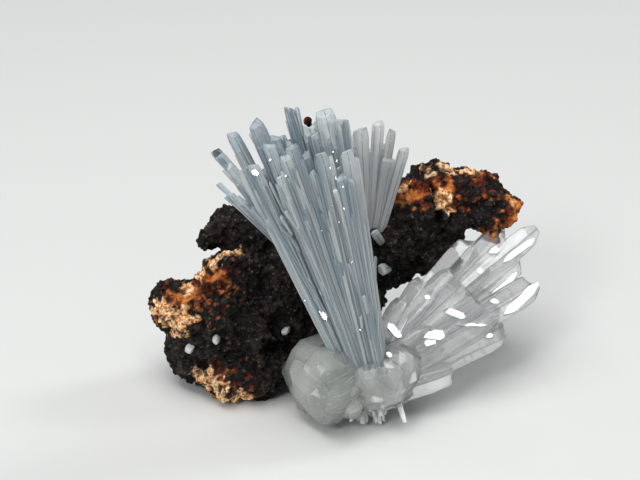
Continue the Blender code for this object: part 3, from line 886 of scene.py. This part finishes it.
def glinting_blades(crystals, rng, count):
    """Short, slim blades that stand out a little from the sides of larger ones, towards their tips."""
    meshes = []
    for _ in range(count):
        parent = rng.choice(crystals)
        along = rng.uniform(0.25, 0.9)
        turn = parent.turn()
        edge = rng.uniform(0, 2 * math.pi)
        out = turn @ Vector((math.cos(edge), math.sin(edge), 0))
        taper = parent.taper + (1 - parent.taper) * along
        sideways = 0.40 * parent.width * taper * math.cos(edge)
        through = 0.36 * parent.thickness * taper * math.sin(edge)
        from_axis = turn @ Vector((sideways, through, 0))
        axis = (parent.tip - parent.root).normalized()
        root = parent.root.lerp(parent.tip, along) + from_axis
        reach = rng.uniform(1.6, 5.0)
        tip = root + (axis + out * rng.uniform(0.05, 0.22)).normalized() * reach
        width = rng.uniform(0.5, 1.0)
        thickness = rng.uniform(0.35, 0.7)
        roll = rng.uniform(0, 90)
        small = Crystal(root, tip, width, thickness, roll, chisel=0.5, taper=0.8)
        meshes.append(prism_mesh(small, rng, bevel=SHORT_BLADE_BEVEL))
    return meshes


def facet_mesh(start, end, width, facing, rng):
    """A flat, pointed step on a crystal, whose top faces the given way and catches a lamp."""
    length = (end - start).length
    along = (end - start).normalized()
    across = facing.cross(along).normalized()
    half = width / 2
    outline = [
        (0.0, rng.uniform(-0.3, 0.3) * half),
        (rng.uniform(0.15, 0.3) * length, half),
        (rng.uniform(0.75, 0.9) * length, half * rng.uniform(0.7, 1.0)),
        (length, rng.uniform(-0.3, 0.3) * half),
        (rng.uniform(0.7, 0.85) * length, -half),
        (rng.uniform(0.1, 0.25) * length, -half * rng.uniform(0.7, 1.0)),
    ]
    bm = bmesh.new()
    layer = bm.verts.layers.float_vector.new("grain")
    top = bm.faces.new([bm.verts.new(start + along * x + across * y) for x, y in outline])
    under = bmesh.ops.extrude_face_region(bm, geom=[top], use_keep_orig=True)["geom"]
    for vert in (item for item in under if isinstance(item, bmesh.types.BMVert)):
        vert.co -= facing * FACET_DEPTH
    bmesh.ops.recalc_face_normals(bm, faces=bm.faces)
    number = rng.uniform(0, 90)
    for vert in bm.verts:
        vert[layer] = Vector((vert.co.x + number, vert.co.y, vert.co.z))
        vert.co *= MM
    mesh = bpy.data.meshes.new("facet")
    bm.to_mesh(mesh)
    bm.free()
    return mesh


def view_back():
    """The direction out of the picture, towards the camera."""
    rise = math.radians(VIEW_ELEVATION)
    return Vector((0, -math.cos(rise), math.sin(rise)))


def view_ray(place):
    """The direction from the camera through a place in the picture."""
    back = view_back()
    up = Vector((0, back.z, -back.y))
    pixel = SENSOR_WIDTH / LENS / PICTURE_WIDTH
    across = (place[0] - PICTURE_WIDTH / 2) * pixel
    above = (PICTURE_HEIGHT / 2 - place[1]) * pixel
    return (Vector((across, 0, 0)) + up * above - back).normalized()


def tree_of(pieces):
    """The faces of some pieces, in mm, ready for rays."""
    corners, faces = [], []
    for piece in pieces:
        first = len(corners)
        corners += [vert.co / MM for vert in piece.data.vertices]
        faces += [[first + k for k in face.vertices] for face in piece.data.polygons]
    return BVHTree.FromPolygons(corners, faces)


def facets_at(tree, ends, width, rng):
    """A step on the crystals between two places in the picture, which mirrors the lamp to the camera.

    The list is empty where the place shows a gap between two blades.
    """
    eye = VIEW_TARGET + view_back() * VIEW_DISTANCE
    middle = [(a + b) / 2 for a, b in zip(*ends)]
    point = tree.ray_cast(eye, view_ray(middle))[0]
    if point is None:
        return []
    to_eye = (eye - point).normalized()
    point += to_eye * FACET_LIFT
    facing = (to_eye + (GLINT_LAMP - point).normalized()).normalized()
    start, end = (eye + ray * ((point - eye).dot(facing) / ray.dot(facing)) for ray in map(view_ray, ends))
    return [facet_mesh(start, end, width, facing, rng)]


def spark_ends(place, rng):
    """The ends of a spark in the picture, which stands nearly upright there."""
    lean = rng.uniform(-SPARK_LEAN, SPARK_LEAN)
    half = rng.uniform(*SPARK_LENGTH) / 2
    across, down = half * math.sin(lean), half * math.cos(lean)
    return (place[0] - across, place[1] - down), (place[0] + across, place[1] + down)


def facet_piece(look, pieces):
    """The bright steps and sparks on the given pieces."""
    rng = random.Random(STEPS_SEED)
    tree = tree_of(pieces)
    meshes = []
    for first, second, width in BRIGHT_STEPS:
        meshes += facets_at(tree, (first, second), width, rng)
    for place in SPARKS:
        meshes += facets_at(tree, spark_ends(place, rng), rng.uniform(*SPARK_WIDTH), rng)
    return joined("bright_facets", meshes, look)


def front_piece(look):
    """The front spray: its blades, and the short ones that stand out from them."""
    rng = random.Random(FRONT_SEED)
    blades = front_spray()
    meshes = []
    for k, crystal in enumerate(blades):
        if k < CROWN_CRYSTALS:
            meshes += bundle_meshes(crystal, rng, *CROWN_BUNDLE)
        else:
            crystal.width *= ROW_WIDENING
            meshes += bundle_meshes(crystal, rng, *ROW_BUNDLE)
    for k, crystal in enumerate(side_feathers()):
        blades.append(crystal)
        bundle = bundle_meshes(crystal, rng, *FEATHER_BUNDLE)
        if k == SHADED_TIP_FEATHER:
            paint_tip_shade(bundle[0], crystal)
        meshes += bundle
    for along, lean, pitch, length, width, thickness in CHIP_HOLDERS:
        foot = SPRAY_FOOT_LEFT.lerp(SPRAY_FOOT_RIGHT, along)
        holder = Crystal(foot, lean_to(foot, lean, pitch, length), width, thickness, 15, 1.6, 0.5)
        meshes += bundle_meshes(holder, rng, *HOLDER_BUNDLE)
    piece = joined("front_spray", meshes + glinting_blades(blades, rng, SHORT_BLADES), look)
    for vert in piece.data.vertices:
        vert.co.x += hollow_side(vert.co / MM) * MM
    return piece


def paint_tip_shade(mesh, crystal):
    """Marks the end faces of a blade for painted shade."""
    axis = (crystal.tip - crystal.root).normalized()
    reach = (crystal.tip - crystal.root).length
    marks = mesh.attributes["edge"].data
    for face in mesh.polygons:
        if (Vector(face.center) / MM - crystal.root).dot(axis) > reach - SHADED_TIP_LENGTH:
            marks[face.index].value = PAINTED_TIP_SHADE


def hollow_side(point):
    """How far right a point of the front spray moves, in mm: the spray's left side is slightly hollow."""
    rise = (point.z - HOLLOW_FROM) / (HOLLOW_TO - HOLLOW_FROM)
    if not 0.0 < rise < 1.0:
        return 0.0
    middle = SPRAY_FOOT_RIGHT.x - MIDDLE_INSET - MIDDLE_SLOPE * (point.z - HOLLOW_FROM)
    return HOLLOW_DEPTH * math.sin(math.pi * rise) * min(1.0, max(0.0, (middle - point.x) / HOLLOW_FADE))


def crystals():
    """All the crystals: the spray, the bundle behind it, the base, the sheaf and the single ones."""
    spray = crystal_look(
        "spray_barite",
        clear=(0.90, 0.99, 1.0),
        milky=(0.98, 1.0, 1.0),
        deep=(0.46, 0.62, 0.74),
        transmission=0.50,
        roughness=0.05,
        absorbed=(0.62, 0.79, 0.88),
        density=10.0,
        veil=0.46,
        contrast=0.65,
    )
    behind = crystal_look(
        "back_barite",
        clear=(0.99, 1.0, 1.0),
        milky=(0.97, 1.0, 1.0),
        deep=(0.84, 0.91, 0.92),
        transmission=0.46,
        roughness=0.03,
        absorbed=(0.66, 0.79, 0.80),
        density=4.0,
        veil=0.46,
        contrast=0.5,
    )
    stout = crystal_look(
        "base_barite",
        clear=(0.99, 1.0, 0.98),
        milky=(0.98, 1.0, 1.0),
        deep=(0.88, 0.94, 0.92),
        transmission=0.80,
        roughness=0.025,
        absorbed=(0.74, 0.83, 0.74),
        density=8.0,
        veil=0.48,
        contrast=0.4,
        groove=0.10,
    )
    veiled = crystal_look(
        "inner_barite",
        clear=(1.0, 1.0, 0.93),
        milky=(1.0, 1.0, 1.0),
        deep=(0.62, 0.70, 0.63),
        transmission=0.28,
        roughness=0.12,
        absorbed=(0.78, 0.86, 0.76),
        density=4.0,
        veil=0.50,
        contrast=0.8,
        groove=0.10,
    )
    hazy = crystal_look(
        "base_points_barite",
        clear=(0.98, 1.0, 1.0),
        milky=(0.98, 1.0, 1.0),
        deep=(0.93, 0.98, 1.0),
        transmission=0.28,
        roughness=0.04,
        absorbed=(0.74, 0.84, 0.84),
        density=4.0,
        veil=0.44,
        contrast=0.35,
        groove=0.12,
        painted_rim=0.15,
    )
    sheaf = crystal_look(
        "sheaf_barite",
        clear=(0.985, 0.99, 0.985),
        milky=(0.97, 0.98, 0.98),
        deep=(0.72, 0.77, 0.77),
        transmission=0.84,
        roughness=0.025,
        absorbed=(0.78, 0.86, 0.82),
        density=14.0,
        veil=0.55,
        contrast=0.4,
        groove=0.12,
    )
    facet = crystal_look(
        "facet_barite",
        clear=(0.98, 0.99, 0.99),
        milky=(1.0, 1.0, 1.0),
        deep=(0.85, 0.88, 0.90),
        transmission=0.88,
        roughness=0.015,
        absorbed=(0.78, 0.86, 0.82),
        density=10.0,
        veil=0.60,
        contrast=0.2,
        groove=0.03,
    )
    blocks = base_crystals()[:BASE_BLOCKS]
    blocks[0].chisel, blocks[0].ridge, blocks[0].point = BLOCK_TIP
    blocks[0].roll += BLOCK_TURN
    points = base_crystals()[BASE_BLOCKS:]
    for point in points:
        point.tip = point.root.lerp(point.tip, POINT_REACH)
    points += needles()
    made = [
        (front_piece(spray), "barite_cluster"),
        (crystal_piece("base_crystals", blocks, BASE_SEED, CLEAR_BUNDLE, stout, fused), "barite_cluster"),
        (inner_piece(blocks, veiled), "barite_cluster"),
        (crystal_piece("base_points", points, POINTS_SEED, POINT_BUNDLE, hazy, fused), "barite_cluster"),
    ]
    right = crystal_piece("right_sheaf", right_sheaf(), SHEAF_SEED, CLEAR_BUNDLE, sheaf, fused)
    made.append((right, "barite_cluster"))
    made.append((facet_piece(facet, [piece for piece, node in made]), "barite_cluster"))
    back = crystal_piece("back_spray_blades", back_spray(), BACK_SEED, BACK_BUNDLE, behind)
    made.append((back, "back_spray"))
    for k, crystal in enumerate(small_crystals(), start=1):
        piece = crystal_piece(f"single_crystal_{k}", [crystal], SINGLE_SEED + k, SINGLE_BUNDLE, behind)
        made.append((piece, f"small_crystal_{k}"))
    for piece, node in made:
        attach(piece, "root")
        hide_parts(node)


def rocks():
    """The rock and the grain of it that the spray holds."""
    look = rock_look()
    for piece, node, slot in (
        (rock_piece(look), "rock", "iron_oxide"),
        (chip_piece(look), "iron_oxide_chip", "iron_oxide_red"),
    ):
        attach(piece, "root")
        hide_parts(node)


def studio():
    """A pale floor and soft light from above."""
    bm = bmesh.new()
    bmesh.ops.create_grid(bm, x_segments=1, y_segments=1, size=FLOOR_HALF)
    mesh = bpy.data.meshes.new("floor")
    bm.to_mesh(mesh)
    bm.free()
    floor = new_object("floor", mesh)
    nodes = Nodes("floor")
    nodes.shader.inputs["Base Color"].default_value = (*FLOOR_COLOUR, 1.0)
    nodes.shader.inputs["Roughness"].default_value = 0.75
    nodes.shader.inputs["Specular IOR Level"].default_value = 0.2
    mesh.materials.append(nodes.material)
    world = bpy.data.worlds.new("studio")
    bpy.context.scene.world = world
    world.use_nodes = True
    background = world.node_tree.nodes["Background"]
    background.inputs["Color"].default_value = (*SKY_COLOUR, 1.0)
    background.inputs["Strength"].default_value = SKY_STRENGTH
    for name, place, aim, size, power in LAMPS:
        lamp = bpy.data.lights.new(name, "AREA")
        lamp.shape = "SQUARE"
        lamp.size = size
        lamp.energy = power
        obj = new_object(name, lamp)
        obj.location = place
        obj.rotation_euler = (Vector(aim) - Vector(place)).to_track_quat("-Z", "Y").to_euler()


def camera():
    """The camera, which looks down on the specimen as in the photograph."""
    lens = bpy.data.cameras.new("camera")
    lens.lens = LENS
    lens.sensor_width = SENSOR_WIDTH
    lens.clip_start = CLIP_START
    obj = new_object("camera", lens)
    obj.location = (VIEW_TARGET + view_back() * VIEW_DISTANCE) * MM
    obj.rotation_euler = (math.pi / 2 - math.radians(VIEW_ELEVATION), 0, 0)
    bpy.context.scene.camera = obj


def main():
    scene = bpy.context.scene
    scene.view_settings.view_transform = "Standard"
    camera()
    studio()
    crystals()
    rocks()


main()
